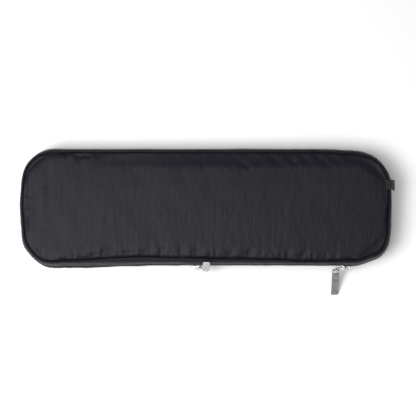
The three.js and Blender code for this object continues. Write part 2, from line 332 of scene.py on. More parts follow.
def lengths(points):
    """The distance of each point along the line through them all."""
    return np.concatenate([[0], np.cumsum(np.linalg.norm(np.diff(points, axis=0), axis=1))])


def unit(vectors):
    return vectors / np.linalg.norm(vectors, axis=-1, keepdims=True)


def squircle(count, flatness_a, flatness_b):
    """Points (a, b) round a closed curve between a circle (1) and a box (0), each with how far it is
    towards the curve's two sides."""
    for angle in np.linspace(0, 2 * math.pi, count, endpoint=False):
        c, q = math.cos(angle), math.sin(angle)
        yield math.copysign(abs(c) ** flatness_a, c), math.copysign(abs(q) ** flatness_b, q), abs(c)


def dense_outline():
    """Points and outward normals all round the outer face at half height, from the front's middle
    towards +X, close enough together to be read between."""
    step = 0.25
    points, normals = [], []

    def straight(a, b, normal):
        count = int(math.hypot(b[0] - a[0], b[1] - a[1]) / step)
        for i in range(count):
            t = i / count
            points.append((a[0] + (b[0] - a[0]) * t, a[1] + (b[1] - a[1]) * t))
            normals.append(normal)

    def corner(cx, cy, radius, start):
        count = int(radius * math.pi / 2 / step)
        for i in range(count):
            angle = start + math.pi / 2 * i / count
            normal = (math.cos(angle), math.sin(angle))
            points.append((cx + radius * normal[0], cy + radius * normal[1]))
            normals.append(normal)

    fr, br, bl, fl = CORNERS.values()
    straight((0, FRONT), (RIGHT - fr, FRONT), (0, -1))
    corner(RIGHT - fr, FRONT + fr, fr, -math.pi / 2)
    straight((RIGHT, FRONT + fr), (RIGHT, BACK - br), (1, 0))
    corner(RIGHT - br, BACK - br, br, 0)
    straight((RIGHT - br, BACK), (bl - RIGHT, BACK), (0, 1))
    corner(bl - RIGHT, BACK - bl, bl, math.pi / 2)
    straight((-RIGHT, BACK - bl), (-RIGHT, FRONT + fl), (-1, 0))
    corner(fl - RIGHT, FRONT + fl, fl, math.pi)
    straight((fl - RIGHT, FRONT), (0, FRONT), (0, -1))
    points, normals = np.array(points + points[:1]), np.array(normals + normals[:1])
    return lengths(points), points, normals


def eased(value, knots):
    """Reads a list of (place, amount) pairs with smooth steps between them."""
    places, amounts = np.array(knots, float).T
    value = np.clip(np.asarray(value, float), places[0], places[-1])
    i = np.clip(np.searchsorted(places, value) - 1, 0, len(places) - 2)
    t = (value - places[i]) / (places[i + 1] - places[i])
    t = t * t * (3 - 2 * t)
    return amounts[i] * (1 - t) + amounts[i + 1] * t


# How far the soft rim stands outside (plus) or inside its drawn line round the two ends, by the
# distance along the rim from the front's middle
END_SWELLS = [(-300, 0), (-276, -0.3), (-256, -0.9), (-228, 0.2), (-205, -1.4), (-180, 1.8), (-165, 2.8),
              (-140, 0), (146, 0), (160, -0.4), (176, 2.0), (204, -2.0), (232, -0.9), (258, -1.1),
              (278, -1.5), (296, -2.1), (312, -1.3), (330, -0.3), (345, 0)]

ALONG, DRAWN_POINTS, RIM_NORMALS = dense_outline()
PERIMETER = float(ALONG[-1])


def signed(s):
    """Distance from the front's middle, from minus to plus half the perimeter."""
    return (np.asarray(s, float) + PERIMETER / 2) % PERIMETER - PERIMETER / 2


def end_swells(s):
    return eased(signed(s), END_SWELLS)


RIM_POINTS = DRAWN_POINTS + RIM_NORMALS * end_swells(ALONG)[:, None]


def rim(s):
    """The outline's points and outward normals at distances s from the front's middle."""
    s = np.asarray(s, float) % PERIMETER
    point = np.stack([np.interp(s, ALONG, RIM_POINTS[:, i]) for i in (0, 1)], -1)
    normal = np.stack([np.interp(s, ALONG, RIM_NORMALS[:, i]) for i in (0, 1)], -1)
    return point, unit(normal)


def loop_noise(s, wave, seed):
    """Noise along the outline in swells about that long, which joins up with itself."""
    angle = 2 * math.pi * np.asarray(s, float) / PERIMETER
    radius = PERIMETER / (2 * math.pi * wave)
    return noise(radius * np.cos(angle), radius * np.sin(angle), seed)


# The back's straight stretch starts at BACK_START along the rim, and x = 0 is BACK_HALF further
BACK_HALF = RIGHT - CORNERS["back_right"]
BACK_START = float(ALONG[np.argmax(DRAWN_POINTS[:, 1] > BACK - 1e-9)])


def back_distance(x):
    """The distance along the rim of a point at x behind, at the back corners as well."""
    behind = DRAWN_POINTS[:, 1] > 0
    return float(np.interp(-x, -DRAWN_POINTS[behind, 0], ALONG[behind]))


WALL_STEPS = np.linspace(0, PERIMETER, 700, endpoint=False)
SPINE_RIGHT, SPINE_LEFT = back_distance(SPINE[1]), back_distance(SPINE[0])
CHAIN_RIGHT = back_distance(SPINE[1] + CHAIN_END)
CHAIN_LEFT = back_distance(SPINE[0] - CHAIN_END)


def front_swells(s):
    """How far the soft front edge stands out from, or falls inside, its straight line."""
    at = signed(s)
    return (2.6 * swell(at, -127, 27) - 0.1 * swell(at, -85, 14) - 1.2 * swell(at, -48, 16)
            - 1.9 * swell(at, 6, 17) - 0.9 * swell(at, 58, 20) + 0.6 * swell(at, 146, 14))


def seam_shift(s):
    """How far the panel's seam lies inside its drawn line."""
    at = signed(s)
    left = smooth(-at, 165, 215) * (1 - smooth(-at, 260, 310))
    right = smooth(at, 165, 215) * (1 - smooth(at, 260, 310))
    back = smooth(np.abs(at), 260, 310)
    return (1.9 * swell(at, -62, 28) + 0.3 * swell(at, -10, 16) - 2.3 * swell(at, 112, 34)
            - 1.9 * swell(at, -140, 26) - 1.5 * left - 1.5 * right - 0.75 * back - 0.75
            + 0.3 * loop_noise(s, 9, 3))


def seam_pull(s, depth, h):
    """How much of the seam's shift a point of the side at this depth and height takes."""
    near = np.clip(depth / 6.25, 0, 1) ** 0.7
    return seam_shift(s) * smooth(h, 11.5, 15.2) * near


def inner_shift(s):
    """How far the lining of the side wall gives way where the front is pressed in."""
    return np.clip(-0.9 * front_swells(s) - 0.3, 0, 0.9)


def zipper_shift(s):
    """How far the zipper follows the front edge, a little inside it where it is closed."""
    closed = smooth(signed(s), -110, -95) * (1 - smooth(signed(s), -22, -12))
    near = np.clip(0.28 * front_swells(s) - 0.6 * closed, -0.2, 0.2)
    return near * (1 - smooth(np.abs(signed(s)), 145, 165))


class Build:
    """Collects vertices in millimetres, faces, a pair of cloth coordinates in millimetres for each
    corner, and material numbers, for one object."""

    def __init__(self):
        self.verts, self.faces, self.uvs, self.slots = [], [], [], []
        self.count = 0

    def add(self, verts, faces):
        verts = np.asarray(verts, float).reshape(-1, 3)
        for face in faces:
            self.faces.append(tuple(int(i) + self.count for i in face))
            self.slots.append(0)
        corners = [i for face in faces for i in face]
        self.uvs.extend(verts[corners, :2].tolist())
        self.verts.append(verts)
        self.count += len(verts)

    def sweep(self, rings, uvs=None, slot=0, closed=False, wrap=True, caps=True):
        """A skin over rings, an array (rings, points, 3). Its points go round each ring."""
        rings = np.asarray(rings, float)
        count, size = rings.shape[:2]
        row = np.arange(count if closed else count - 1)
        column = np.arange(size if wrap else size - 1)
        i, j = np.meshgrid(row, column, indexing="ij")
        ni, nj = (i + 1) % count, (j + 1) % size
        quads = np.stack([i * size + j, ni * size + j, ni * size + nj, i * size + nj], -1)
        faces = quads.reshape(-1, 4)
        base = self.count
        verts = rings.reshape(-1, 3)
        self.verts.append(verts)
        self.faces.extend(map(tuple, (faces + base).tolist()))
        self.slots.extend([slot] * len(faces))
        if uvs is None:
            self.uvs.extend(verts[faces.ravel(), :2].tolist())
        else:
            u, v = uvs
            span = v[1] - v[0] if len(v) > 1 else 1.0
            v_next = np.append(v[1:], v[-1] + span) if wrap else v[1:]
            u_next = np.append(u[1:], u[-1] + (u[1] - u[0])) if closed else u[1:]
            corner = np.stack([
                np.stack([u[i], v[j]], -1), np.stack([u_next[i], v[j]], -1),
                np.stack([u_next[i], v_next[j]], -1), np.stack([u[i], v_next[j]], -1)], 2)
            self.uvs.extend(corner.reshape(-1, 2).tolist())
        self.count += len(verts)
        if caps and not closed and wrap:
            for ring in (0, count - 1):
                face = [base + ring * size + k for k in range(size)]
                self.faces.append(tuple(face if ring else face[::-1]))
                self.slots.append(slot)
                self.uvs.extend([(0.0, 0.0)] * size)

    def piece(self, name, looks, body, *replaced, slot=None, sharp=None):
        """The finished piece, in these looks, of which the first names its slot. It rides on the
        body, if one is given, and stands for the nodes. Edges above the angle sharp stay."""
        mesh = bpy.data.meshes.new(name)
        mesh.from_pydata((np.concatenate(self.verts) * MM).tolist(), [], self.faces)
        for look in looks:
            mesh.materials.append(LOOKS[look])
        mesh.polygons.foreach_set("material_index", self.slots)
        mesh.uv_layers.new(name=UV).data.foreach_set("uv", (np.array(self.uvs) * MM).ravel())
        mesh.polygons.foreach_set("use_smooth", [True] * len(mesh.polygons))
        if sharp is not None:
            mesh.set_sharp_from_angle(angle=math.radians(sharp))
        mesh.update()
        made = linked(name, mesh)
        work = bmesh.new()
        work.from_mesh(mesh)
        bmesh.ops.remove_doubles(work, verts=work.verts, dist=1e-7)
        bmesh.ops.dissolve_degenerate(work, edges=work.edges, dist=1e-7)
        bmesh.ops.recalc_face_normals(work, faces=work.faces)
        work.to_mesh(mesh)
        work.free()
        if body:
            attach(made, body)
        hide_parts(*replaced)
        return made


def spline(points, count, closed):
    """That many points evenly along a smooth curve through the given ones."""
    points = np.asarray(points, float)
    if closed:
        points = np.concatenate([points[-1:], points, points[:2]])
    else:
        points = np.concatenate([2 * points[:1] - points[1:2], points, 2 * points[-1:] - points[-2:-1]])
    fine = []
    steps = 16   # to each stretch between two given points
    for a, b, c, d in zip(points, points[1:], points[2:], points[3:]):
        t = np.linspace(0, 1, steps, endpoint=False)[:, None]
        fine.append(0.5 * (2 * b + (c - a) * t + (2 * a - 5 * b + 4 * c - d) * t ** 2
                           + (3 * b - a - 3 * c + d) * t ** 3))
    fine.append(points[-2][None])
    fine = np.concatenate(fine)
    length = lengths(fine)
    want = np.linspace(0, length[-1], count, endpoint=not closed)
    return np.stack([np.interp(want, length, fine[:, i]) for i in range(fine.shape[1])], -1)


def tube_rings(path, radius, sides, closed=False):
    """Rings of a round tube along a path, turned as little as possible from one to the next."""
    path = np.asarray(path, float)
    if closed:
        ahead, behind = np.roll(path, -1, 0), np.roll(path, 1, 0)
    else:
        ahead = np.concatenate([path[1:], path[-1:]])
        behind = np.concatenate([path[:1], path[:-1]])
    tangent = unit(ahead - behind)
    side = np.empty_like(path)
    current = np.array([0.0, 0.0, 1.0])
    if abs(tangent[0] @ current) > 0.9:
        current = np.array([1.0, 0.0, 0.0])
    for i, t in enumerate(tangent):
        current = current - (current @ t) * t
        current /= np.linalg.norm(current)
        side[i] = current
    other = np.cross(tangent, side)
    angle = np.linspace(0, 2 * math.pi, sides, endpoint=False)
    return (path[:, None] + radius * (np.cos(angle)[None, :, None] * side[:, None]
                                      + np.sin(angle)[None, :, None] * other[:, None]))


def place_on_rim(s, depth, z):
    """Points at these distances along the rim, depths inside it and heights above the floor."""
    point, normal = rim(s)
    flat = point - normal * np.asarray(depth, float)[..., None]
    return np.concatenate([flat, np.broadcast_to(z, flat.shape[:-1])[..., None]], -1)


def height(half, h):
    """A height above the floor from one above the zipper's line, or for the base, below it."""
    return MID + np.asarray(h, float) * (1 if half == "lid" else -1)


# ---------------------------------------------------------------- padded panels

CENTRE_X = (LENGTH - WIDTH) / 2
# A panel's first rings by their distance from the seam, then so many more up to the middle line,
# which counts as this far from the seam all along
EDGE_RINGS = [0.0, 0.35, 0.8, 1.4, 2.1, 2.9, 3.8, 4.8, 5.9, 7.0, 8.1, 9.2, 10.3, 11.3, 12.3]
INNER_RINGS = 38
MIDDLE_REACH = 52.0
LONG_SPOKES, END_SPOKES = 240, 192
FOAM_EDGE = 38.6             # the crease along the back, over the foam's edge
FLOOR_GAP = 0.05             # the underside's lowest points above the floor


def spoke_ends(s, inset):
    """Where spokes start, this far inside the outline, and where they meet the middle line."""
    point, normal = rim(s)
    centre = np.stack([np.clip(point[:, 0], -CENTRE_X, CENTRE_X), np.zeros(len(s))], -1)
    return point - normal * np.reshape(inset, (-1, 1)), centre


def panel_distances():
    """Distances along the rim for the panel's spokes: equal steps in x on both long sides, so that
    the spokes from the front and the back meet in pairs on the middle line."""
    back_right = BACK_START + BACK_HALF - CENTRE_X
    back_left = BACK_START + BACK_HALF + CENTRE_X
    turns = [-CENTRE_X, CENTRE_X, back_right, back_left, PERIMETER - CENTRE_X]
    counts = [LONG_SPOKES, END_SPOKES, LONG_SPOKES, END_SPOKES]
    return np.concatenate([np.linspace(a, b, count + 1)[:-1]
                           for a, b, count in zip(turns, turns[1:], counts)])


def puckers(s, reach, seed):
    """Small gathers that run out from the seam, strongest along the front and at the left slider."""
    at = signed(s)
    front = smooth(at, -95, -55) * (1 - smooth(at, 118, 150))
    size = 0.07 + 0.22 * front + 0.75 * swell(at, -7, 9) + 0.10 * swell(at, 143, 12)
    ridges = loop_noise(s, 2.3, seed) + 0.6 * loop_noise(s, 5.1, seed + 1)
    fade = np.exp(-np.maximum(reach - 0.6, 0) / (4.5 + 2.5 * loop_noise(s, 7, seed + 2)))
    return size * ridges * fade * smooth(reach, 0, 1.2) * (1 - smooth(reach, 25, 45))


def top_height(x, y, s, reach):
    """The lid's outer surface: a flat-topped crown, rolled into the seam, with a foam edge that
    shows as a crease along the back."""
    at = np.abs(signed(s))
    back = smooth(at, 300, 330)
    edge = 35.2 - 0.5 * back * (1 - smooth(reach, 4, 40))
    left_end = smooth(-signed(s), 185, 205) * (1 - smooth(-signed(s), 275, 300))
    deep = 1.9 - 1.4 * back - 1.1 * left_end
    roll = deep * (1 - np.clip(1 - reach / 1.9, 0, 1) ** 2) - deep
    crown = 0.7 * (1 - np.exp(-reach / 3.2))
    rise = edge + roll + crown + 0.5 * smooth(reach, 8, 50)
    crease = smooth(x, -145, -45) * (1 - smooth(x, 158, 176)) * smooth(y, 0, 20)
    plateau = 36.7 + 0.15 * noise(x / 30, y / 30, 6)
    steep = 0.09 + 0.09 * smooth(x, -75, 10)
    slope = plateau - steep * np.clip(y - FOAM_EDGE, -8, None) + roll
    sharpness = 0.22
    capped = -sharpness * np.log(np.exp(-slope / sharpness) + np.exp(-plateau / sharpness))
    return rise * (1 - crease) + capped * crease, crease


def surface_creases(x, y):
    """Soft creases of the loose outer fabric: mostly across the case, some slanting."""
    across = noise(x / 7.5, y / 34, 21) * (0.55 + 0.45 * noise(x / 60, y / 40, 22))
    fine = noise(x / 3.1, y / 19, 23)
    slant = noise((x * 0.8 + y * 0.6) / 15, (y * 0.8 - x * 0.6) / 42, 24)
    broad = noise(x / 48, y / 36, 25)
    mottled = noise(x / 10, y / 13, 26) * (0.6 + 0.4 * noise(x / 70, y / 50, 27))
    return 0.15 * across + 0.04 * fine + 0.15 * slant + 0.34 * broad + 0.15 * mottled


def strip_wrinkles(x, y):
    """Slanting pulls in the narrow strip behind the foam's edge, right of the middle."""
    where = swell(x, 92, 34) * smooth(y, 38, 42)
    line = (x + 0.85 * (y - 46)) / 2.7
    return 0.26 * where * np.sin(line + 1.8 * noise(x / 22, y / 22, 31))


def left_folds(x, y):
    """Two or three upright folds at the rounded left end."""
    lean = x + 0.10 * y
    outer = 0.40 * swell(lean, -173, 3.2) * swell(y, -2, 26)
    inner = 0.50 * swell(lean + 0.05 * y, -160, 3.4) * swell(y, 10, 17)
    low = 0.35 * swell(x - 0.35 * y, -150, 3.5) * swell(y, -36, 11)
    lift = 1.1 * swell(x, -172, 24) * smooth(y, 0, 50)
    return outer + inner + low + lift + 0.2 * noise(x / 5, y / 24, 41) * swell(x, -164, 14)


def panel_grid(s, lid):
    """A panel's points in plan, (rings, spokes, 2), from the seam to the middle line, and how far
    from the seam each ring counts as."""
    shift = seam_shift(s) if lid else 0.4 * seam_shift(s)
    edge, centre = spoke_ends(s, SEAM_INSET + shift)
    inward = centre - edge
    span = np.linalg.norm(inward, axis=1)
    last = EDGE_RINGS[-1]
    shares = [i / INNER_RINGS for i in range(1, INNER_RINGS + 1)]
    travel = np.stack([np.full(len(s), q) for q in EDGE_RINGS]
                      + [last + (span - last) * share for share in shares])
    flat = edge[None] + unit(inward)[None] * travel[..., None]
    flat[-1] = centre
    level = EDGE_RINGS + [last + (MIDDLE_REACH - last) * share for share in shares]
    return flat, np.repeat(np.array(level)[:, None], len(s), 1)


def lid_surface(s):
    """The top, with its creases, folds and gathers, before the cloth settles."""
    flat, reach = panel_grid(s, True)
    x, y = flat[..., 0], flat[..., 1]
    z, crease = top_height(x, y, s[None], reach)
    inside = smooth(reach, 0.5, 6)
    z = z + inside * (surface_creases(x, y) * (1 - 0.4 * crease * smooth(y, 38, 42))
                      + left_folds(x, y) + strip_wrinkles(x, y))
    z = z + puckers(s[None], reach, 51)
    return np.concatenate([flat, z[..., None]], -1)


def base_surface(s):
    """The underside: it lies flat on the floor and rolls up into the seam all round."""
    flat, reach = panel_grid(s, False)
    x, y = flat[..., 0], flat[..., 1]
    roll = 1.35 * np.clip(1 - reach / 1.6, 0, 1) ** 2
    lift = 0.75 * np.exp(-(reach / 6.0) ** 1.3)
    wrinkle = 0.16 * (1 + noise(x / 6.5, y / 30, 61)) + 0.12 * (1 + noise(x / 20, y / 20, 62))
    wrinkle = wrinkle * (0.35 + 0.65 * np.exp(-reach / 14))
    z = roll + lift + wrinkle + np.abs(puckers(s[None], reach, 65))
    return np.concatenate([flat, z[..., None]], -1)


CLOTH = {"quality": 5, "mass": 0.25, "tension_stiffness": 12.0, "compression_stiffness": 12.0,
         "shear_stiffness": 6.0, "bending_stiffness": 0.35, "air_damping": 4.0,
         "shrink_min": -0.02, "shrink_max": -0.02, "use_pressure": True}
PUFF_PRESSURE, PUFF_FRAMES, COARSE_STEP = 6.0, 18, 3
PUFF_LIMIT = 0.8             # how far the cloth may carry a point


def simulate_puff(points, sign):
    """How the outer fabric, sewn down all round its seam and a little too large for its pad, sets
    under pressure from inside: cloth is run on a coarse copy of the surface."""
    rings, spokes = points.shape[:2]
    flat = points.reshape(-1, 3)
    verts, chosen = np.unique(flat.round(5), axis=0, return_inverse=True)
    chosen = chosen.reshape(rings, spokes)
    faces = []
    for i in range(rings - 1):
        for j in range(spokes):
            k = (j + 1) % spokes
            loop = [chosen[i, j], chosen[i, k], chosen[i + 1, k], chosen[i + 1, j]]
            loop = [int(v) for n, v in enumerate(loop) if v != loop[n - 1]]
            if len(set(loop)) > 2:
                faces.append(loop)
    mesh = bpy.data.meshes.new("cloth_work")
    mesh.from_pydata((verts * MM).tolist(), [], faces)
    work = linked("cloth_work", mesh)
    pinned = work.vertex_groups.new(name="seam")
    pinned.add([int(v) for v in chosen[0]], 1.0, "REPLACE")
    cloth = work.modifiers.new("Cloth", "CLOTH")
    for name, value in CLOTH.items():
        setattr(cloth.settings, name, value)
    cloth.settings.uniform_pressure_force = PUFF_PRESSURE * sign
    cloth.settings.vertex_group_mass = pinned.name
    cloth.settings.effector_weights.gravity = 0.0
    cloth.point_cache.frame_start, cloth.point_cache.frame_end = 1, PUFF_FRAMES
    scene = bpy.context.scene
    for number in range(1, PUFF_FRAMES + 1):
        scene.frame_set(number)
    result = work.evaluated_get(bpy.context.evaluated_depsgraph_get()).data
    moved = np.empty(len(verts) * 3)
    result.vertices.foreach_get("co", moved)
    shift = moved.reshape(-1, 3) / MM - verts
    scene.frame_set(1)
    bpy.data.objects.remove(work)
    bpy.data.meshes.remove(mesh)
    return (PUFF_LIMIT * np.tanh(shift / PUFF_LIMIT))[chosen]


def spread_out(values, coarse, fine):
    """Values known at some rows, filled in between them for every row."""
    flat = values.reshape(len(coarse), -1)
    filled = np.stack([np.interp(fine, coarse, flat[:, k]) for k in range(flat.shape[1])], 1)
    return filled.reshape(len(fine), *values.shape[1:])


def settled(points, sign):
    """The surface after the cloth has set: the coarse result is spread over the fine surface."""
    rings, spokes = points.shape[:2]
    pick_rings = np.unique(np.append(np.arange(0, rings - 1, COARSE_STEP), rings - 1))
    pick_spokes = np.arange(0, spokes, COARSE_STEP)
    shift = simulate_puff(points[np.ix_(pick_rings, pick_spokes)], sign)
    shift = spread_out(shift, pick_rings, np.arange(rings))
    wrapped = np.swapaxes(np.concatenate([shift, shift[:, :1]], 1), 0, 1)
    wrapped = spread_out(wrapped, np.append(pick_spokes, spokes), np.arange(spokes))
    return points + np.swapaxes(wrapped, 0, 1)


def make_panel(half):
    """A face of the case: the settled outer fabric, round the foam, down to the lining."""
    lid = half == "lid"
    s = panel_distances()
    points = lid_surface(s) if lid else base_surface(s)
    # the cloth moves less in the short, tight strip behind the foam's edge
    across = smooth(points[..., 0], -125, -85) * (1 - smooth(points[..., 0], 155, 175))
    calm = 1 - 0.8 * smooth(points[..., 1], 36, 46) * across if lid else 1.0
    points = points + (settled(points, 1 if lid else -1) - points) * np.expand_dims(calm, -1)
    if not lid:
        points[..., 2] = np.maximum(points[..., 2], FLOOR_GAP)
    build = Build()
    columns = np.swapaxes(points, 0, 1)
    # the pad's inner face, flat against the lining, and the wall between
    under = columns[:, [0, 4, 9, 14, 24, 34, 44, -1]].copy()
    under[..., 2] = height(half, PAD_INSIDE)
    wall = np.stack([columns[:, 0], under[:, 0]], 1)
    for skin in (columns, wall, under):
        build.sweep(skin, closed=True, wrap=False, caps=False)
    side = "top" if lid else "bottom"
    made = build.piece(side + "_cover", ["outer_nylon"], half, side + "_panel", side + "_foam")


# ---------------------------------------------------------------- sides and spine

# A gusset's section, as (depth, height above the zipper's line): the outer face from the seam's
# groove to the folded hem, then back up inside
GUSSET_OUTSIDE = [(6.25, 15.7), (6.15, 16.45), (5.65, 17.0), (4.9, 17.05), (3.9, 16.45), (2.75, 15.15),
                  (1.65, 13.1), (0.8, 10.7), (0.25, 8.4), (0.0, 6.7), (0.05, 5.75), (0.4, 5.2)]
GUSSET_INSIDE = [(0.95, 5.2), (1.2, 5.75), (1.15, 7.0), (1.3, 8.8), (1.85, 11.0), (2.7, 13.1),
                 (3.8, 14.7), (4.9, 15.4), (5.7, 15.3)]
HEM_STITCHES = 7.3           # height of the row of stitches above the zipper's line
END_GAP = 0.15               # between the gussets' ends and the spine's


def gusset_swell(half, s, depth, h):
    """Outward and upward movement of the gusset's soft fabric."""
    at = signed(s)
    middle = smooth(-h, -15.5, -10.5) * (0.45 + 0.55 * smooth(h, 4.5, 9))
    hem = 1 - smooth(h, 5.5, 9.5)
    out = np.maximum(front_swells(s), -1.1) * (1.0 if half == "base" else 0.3) * middle
    out = out - seam_pull(s, depth, h) * (1.0 if half == "lid" else 0.4)
    seed = 71 if half == "lid" else 81
    out = out + middle * (0.45 * loop_noise(s, 31, seed) + 0.28 * loop_noise(s, 11, seed + 1))
    out = out + (0.17 * loop_noise(s + 0.8 * h, 4.6, seed + 2)
                 + 0.08 * loop_noise(s, 2.2, seed + 3)) * (0.35 + 0.65 * middle)
    open_part = smooth(at, -12, 0) * (1 - smooth(at, 128, 138))
    if half == "lid":
        out = out + hem * (0.9 * open_part - 0.25)
        out = out + 1.5 * swell(at, -12, 6) * middle * (0.5 + 0.5 * hem)
        up = hem * (0.22 * loop_noise(s, 6.5, 91) + 0.25)
    else:
        out = out + 0.9 * swell(at, -45, 22) * middle
        up = hem * 0.2 * loop_noise(s, 7.5, 92)
    return out, up


def swept(build, half, s, section, shift, closed=False):
    """A skin along the rim. The section is (points, 2) of depth and height above the zipper's line,
    and shift(s, depth, height) says how far its points move outwards and up."""
    depth = np.broadcast_to(section[:, 0], (len(s), len(section)))
    h = np.broadcast_to(section[:, 1], depth.shape)
    around = np.broadcast_to(s[:, None], depth.shape)
    out, up = shift(around, depth, h)
    points = place_on_rim(around, depth - out, height(half, h + up))
    build.sweep(points, uvs=(s, lengths(section)), closed=closed)


def stitch_row(build, s_from, s_to, place):
    """A row of short threads that dip into the cloth at both ends. place(s, lift) gives points."""
    length, pitch, points = 2.7, 3.6, 5
    lift = np.sin(np.linspace(0, math.pi, points))
    for i in range(int((s_to - s_from) / pitch)):
        start = s_from + (i + 0.15) * pitch
        path = place(np.linspace(start, start + length, points), lift)
        build.sweep(tube_rings(path, *THREAD), slot=1)


def bend_with_lid(made):
    """Bakes the placement of a piece of the back into its mesh; the piece does not bend."""
    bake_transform(made)


def make_gusset(half):
    build = Build()
    section = spline(GUSSET_OUTSIDE + GUSSET_INSIDE, 44, True)
    s = np.linspace(SPINE_LEFT - PERIMETER + END_GAP, SPINE_RIGHT - END_GAP, 640)
    swept(build, half, s, section, lambda a, d, h: gusset_swell(half, a, d, h))

    def hem_line(at, lift):
        h = np.full(len(at), HEM_STITCHES)
        out, up = gusset_swell(half, at, np.zeros(len(at)), h)
        return place_on_rim(at, 0.14 - out - 0.14 * lift, height(half, h + up))

    stitch_row(build, s[0] + 3, s[-1] - 3, hem_line)
    build.piece(half + "_side", ["outer_nylon", "thread"], half, half + "_gusset")


def spine_shift(s, depth, h):
    """Outward movement of the spine's fabric, which follows both seams."""
    size = np.abs(h)
    seam = seam_pull(s, depth, size) * (0.4 + 0.6 * smooth(h, -1, 1))
    middle = smooth(-size, -15.5, -10.5)
    soft = 0.30 * loop_noise(s, 34, 101) + 0.10 * loop_noise(s + 0.7 * h, 5.0, 102)
    soft = np.minimum(soft * (0.25 + 0.75 * smooth(size, 4, 9)), 0.5) * middle
    return soft - seam, 0.0 * h


def make_spine():
    """The strip that joins the halves along the back, in one piece from seam to seam."""
    def mirrored(points):
        return [(d, -h) for d, h in reversed(points)]

    outside, inside = GUSSET_OUTSIDE[:-3], [(1.1, 6.5)] + GUSSET_INSIDE[3:]
    down = [(0.0, h) for h in (5, 3.3, 1.7, 0, -1.7, -3.3, -5)]
    up = [(1.0, h) for h in (-4.8, -3.2, -1.6, 0, 1.6, 3.2, 4.8)]
    section = spline(outside + down + mirrored(outside) + mirrored(inside) + up + inside, 128, True)
    build = Build()
    s = np.linspace(SPINE_RIGHT + END_GAP, SPINE_LEFT - END_GAP, 290)
    swept(build, "lid", s, section, spine_shift)
    # a bar of close stitches across each end, beside the ends of the zipper
    bars, spacing = 11, 0.9
    for end in (SPINE_RIGHT + 2.2, SPINE_LEFT - 2.2):
        for k in range(bars):
            level = MID + spacing * (k - bars // 2)
            bar = place_on_rim(end + np.array([-1.2, -0.4, 0.4, 1.2]), -0.08, level)
            build.sweep(tube_rings(bar, *THREAD), slot=1)
    bend_with_lid(build.piece("back_spine", ["outer_nylon", "thread"], None,
                              "spine_lower", "spine_upper"))


def make_hinge_tape():
    section = spline([(1.6, 3.9), (1.6, 0), (1.6, -3.9), (1.9, -4.05), (2.2, -3.9), (2.2, 0),
                      (2.2, 3.9), (1.9, 4.05)], 48, True)
    inset = 6.0
    build = Build()
    swept(build, "lid", np.linspace(SPINE_RIGHT + inset, SPINE_LEFT - inset, 240), section,
          lambda a, d, h: (0.05 * np.sin(2 * math.pi * a / 1.4) * smooth(np.abs(h), 3.9, 3.2), 0 * h))
    bend_with_lid(build.piece("spine_inner_tape", ["webbing"], None, "spine_hinge_tape"))


# ---------------------------------------------------------------- zipper

# The coil parts from the first to the second of these distances from the front's middle, and
# closes from the third to the fourth
PARTED = (-13.0, -6.0, 134.0, 142.0)
COIL_PITCH, COIL_TURN, COIL_WIRE = 1.5, 12, 0.27


def parted(s):
    """1 between the two sliders, where the zipper is open, and 0 where it is closed."""
    at = signed(s)
    return smooth(at, PARTED[0], PARTED[1]) * (1 - smooth(at, PARTED[2], PARTED[3]))


def make_tape(half):
    section = spline([(1.6, 8.8), (1.6, 5), (1.6, 1.6), (1.55, 1.15), (1.9, 1.0), (2.25, 1.15),
                      (2.2, 1.6), (2.2, 5), (2.2, 8.8), (1.9, 9.0)], 40, True)
    s = np.linspace(SPINE_LEFT - PERIMETER - 1.2, SPINE_RIGHT + 1.2, 620)
    build = Build()

    def shift(at, depth, h):
        edge = 1 - smooth(h, 1.2, 6)
        return (zipper_shift(at) * (0.4 + 0.6 * edge) + 0.03 * np.sin(2 * math.pi * at / 1.2),
                edge * (0.55 * parted(at) - 0.1))

    swept(build, half, s, section, shift)
    build.piece(half + "_zip_tape", ["tape"], half, half + "_zipper_tape", slot="webbing")


def make_coil(half):
    """One half of the coil: a flattened spiral sewn along the tape's edge. The two halves are half a
    pitch apart, so that where the zipper is closed their loops lie between each other."""
    start, end = CHAIN_LEFT - PERIMETER + 0.4, CHAIN_RIGHT - 0.4
    s = np.linspace(start, end, int((end - start) / COIL_PITCH * COIL_TURN))
    angle = 2 * math.pi * (s - start) / COIL_PITCH + (0 if half == "lid" else math.pi)
    depth = 0.50 + 0.72 * np.sin(angle) - zipper_shift(s)
    h = 0.98 + 1.15 * np.cos(angle) + 1.05 * parted(s)
    build = Build()
    build.sweep(tube_rings(place_on_rim(s, depth, height(half, h)), COIL_WIRE, 6))
    # the sewing thread that holds the coil to its tape
    line = np.linspace(start, end, 900)
    depth = 0.05 - zipper_shift(line) + 0.1 * np.sin(line * 4.2)
    seam = place_on_rim(line, depth, height(half, 2.35 + 1.05 * parted(line)))
    build.sweep(tube_rings(seam, 0.22, 6), slot=1)
    build.piece(half + "_zip_coil", ["coil", "thread"], half, half + "_zipper_coil")


def evaluated(holder):
    """The vertices and faces that an object's curve or modifiers make. The object is removed."""
    bpy.context.view_layer.update()
    source = holder.evaluated_get(bpy.context.evaluated_depsgraph_get())
    mesh = bpy.data.meshes.new_from_object(source)
    verts = np.array([v.co for v in mesh.vertices], float).reshape(-1, 3)
    faces = [tuple(p.vertices) for p in mesh.polygons]
    bpy.data.objects.remove(holder)
    bpy.data.meshes.remove(mesh)
    return verts, faces


